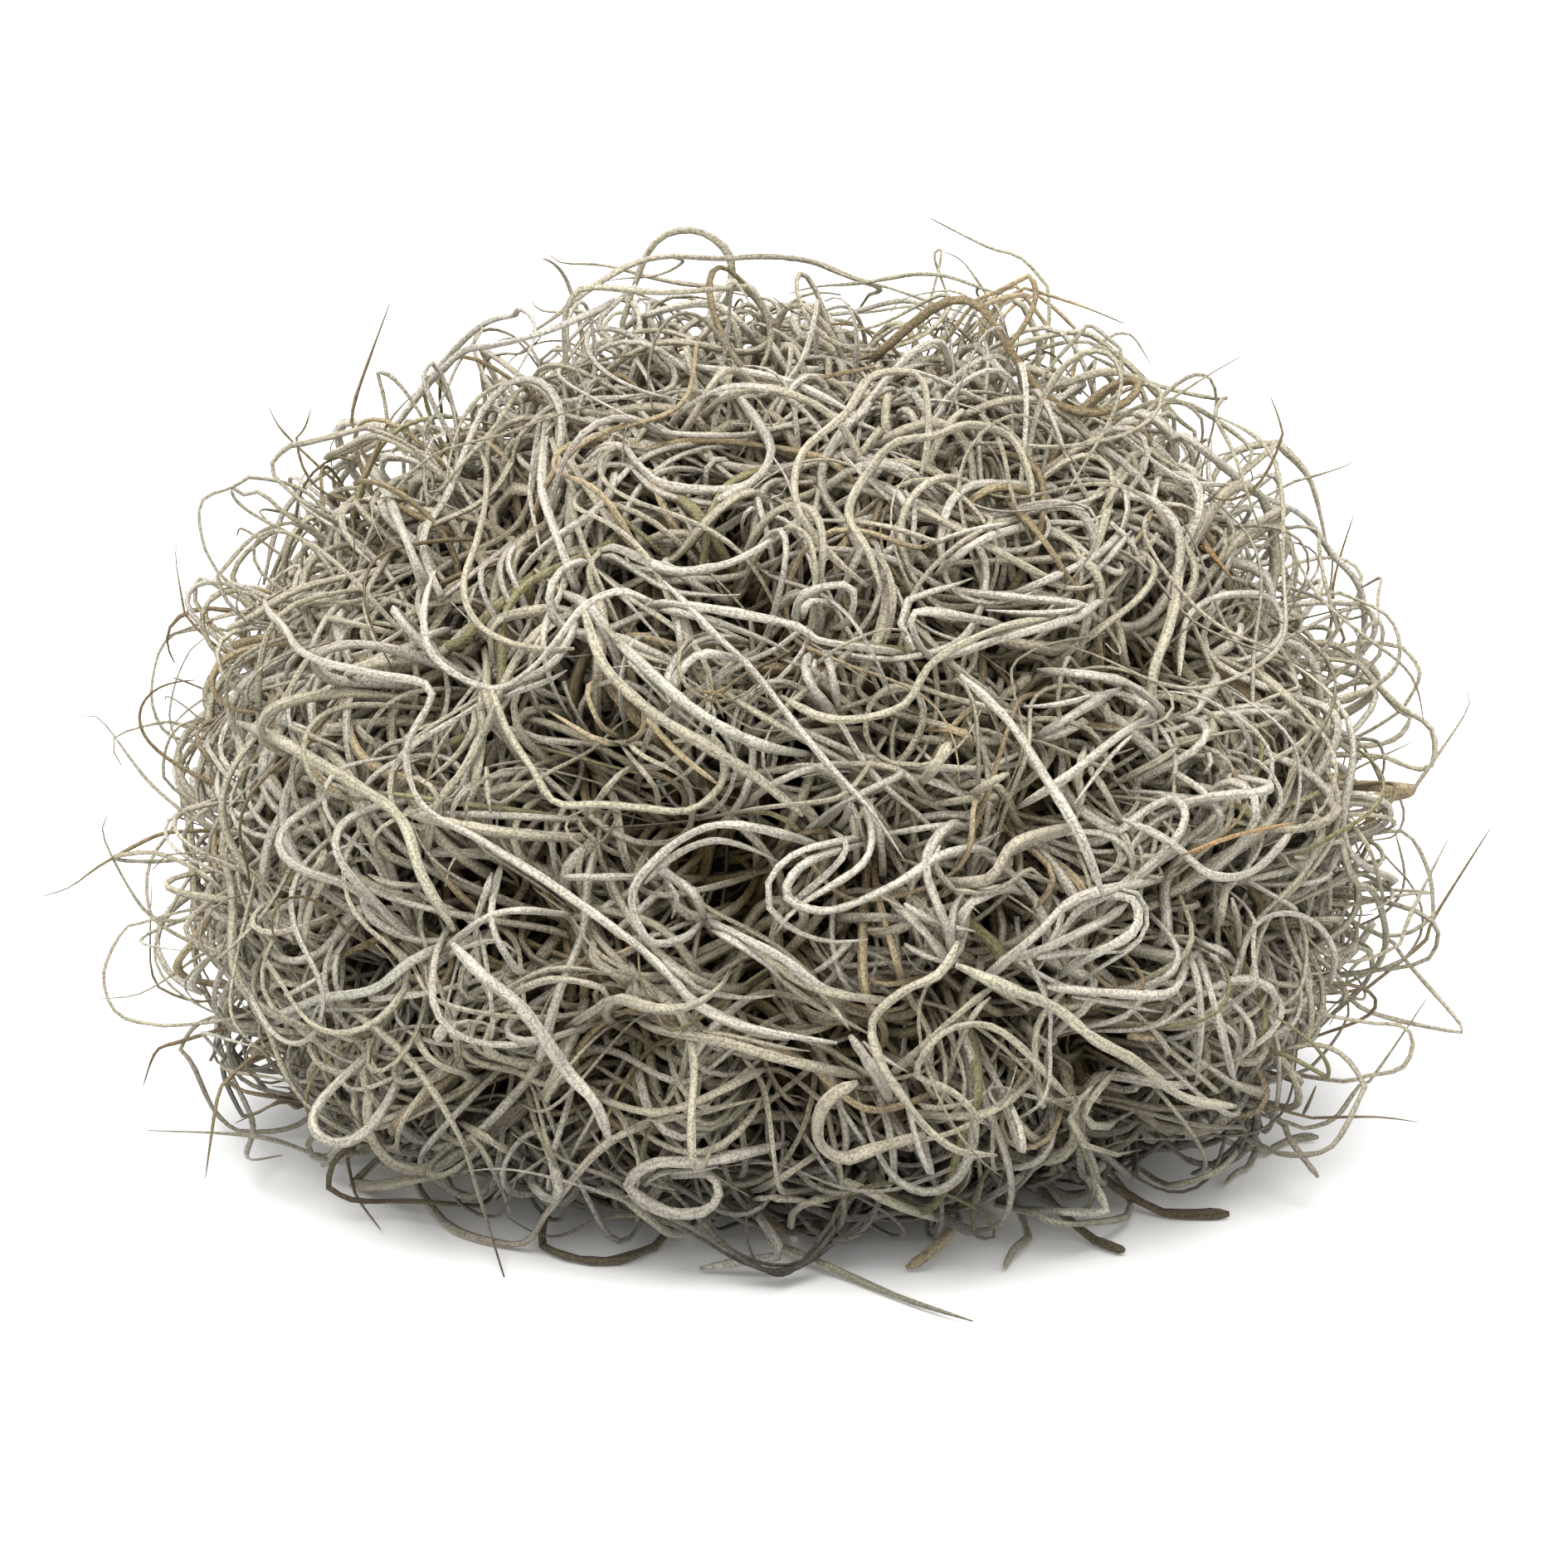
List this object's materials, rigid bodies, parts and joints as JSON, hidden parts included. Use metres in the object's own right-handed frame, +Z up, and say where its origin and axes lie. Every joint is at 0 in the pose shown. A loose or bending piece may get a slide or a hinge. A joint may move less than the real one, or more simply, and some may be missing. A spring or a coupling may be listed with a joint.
{
  "type": "spanish moss bunch",
  "caption": "Low round bunch of tangled, curly, silver-grey Spanish moss with wispy tips all round, lying on its flat underside.",
  "frame": {"origin": "middle of the flat spot that the bunch rests on", "axes": "+Z up; -Y towards the front of the bunch, the side that the main view sees; +X to the right as seen from the front"},
  "size_m": [0.1364, 0.1168, 0.0882],
  "materials": {
    "moss_dull": "dull silver-grey scales",
    "moss_pale": "pale silver-grey scales",
    "moss_green": "grey-green, scaly",
    "moss_dry": "dry, tan"
  },
  "bodies": {
    "root": {"dry_bit_middle": "moss_dry", "dry_bit_right": "moss_dry", "dry_bit_top": "moss_dry", "leafy_stem_14": "moss_dull", "leafy_stem_18": "moss_green", "leafy_stem_20": "moss_dull", "leafy_stem_23": "moss_dull", "leafy_stem_25": "moss_pale", "leafy_stem_26": "moss_dull", "leafy_stem_28": "moss_pale", "leafy_stem_31": "moss_pale", "leafy_stem_33": "moss_green", "leafy_stem_38": "moss_dull", "leafy_stem_39": "moss_green", "leafy_stem_41": "moss_dull", "leafy_stem_43": "moss_pale", "leafy_stem_46": "moss_pale", "leafy_stem_48": "moss_green", "leafy_stem_49": "moss_pale", "leafy_stem_5": "moss_dull", "leafy_stem_56": "moss_dull", "leafy_stem_65": "moss_dull", "leafy_stem_67": "moss_pale", "leafy_stem_7": "moss_pale", "leafy_stem_70": "moss_pale", "leafy_stem_72": "moss_green", "leafy_stem_73": "moss_pale", "leafy_stem_75": "moss_green", "leafy_stem_77": "moss_dull", "leafy_stem_78": "moss_green", "leafy_stem_80": "moss_dull", "leafy_stem_81": "moss_green", "leafy_stem_83": "moss_dull", "leafy_stem_9": "moss_green", "moss_tangle": "moss_dull", "stem_left_furrowed": "moss_pale", "stem_left_long": "moss_pale", "stem_left_loop": "moss_pale", "stem_left_wave": "moss_pale", "stem_low_arch": "moss_pale", "stem_low_crook": "moss_pale", "stem_low_crossing": "moss_pale", "stem_low_left": "moss_pale", "stem_low_right": "moss_pale", "stem_middle_broad": "moss_pale", "stem_middle_hook": "moss_pale", "stem_middle_leaf": "moss_pale", "stem_middle_right": "moss_pale", "stem_middle_swag": "moss_pale", "stem_right_fork": "moss_pale", "stem_right_oval": "moss_pale", "stem_right_ring": "moss_pale", "stem_right_stem": "moss_pale", "stem_shoulder": "moss_pale", "stem_top_wave": "moss_pale", "stem_upper_arch": "moss_pale", "stem_upper_bend": "moss_pale"}
  },
  "joints": []
}
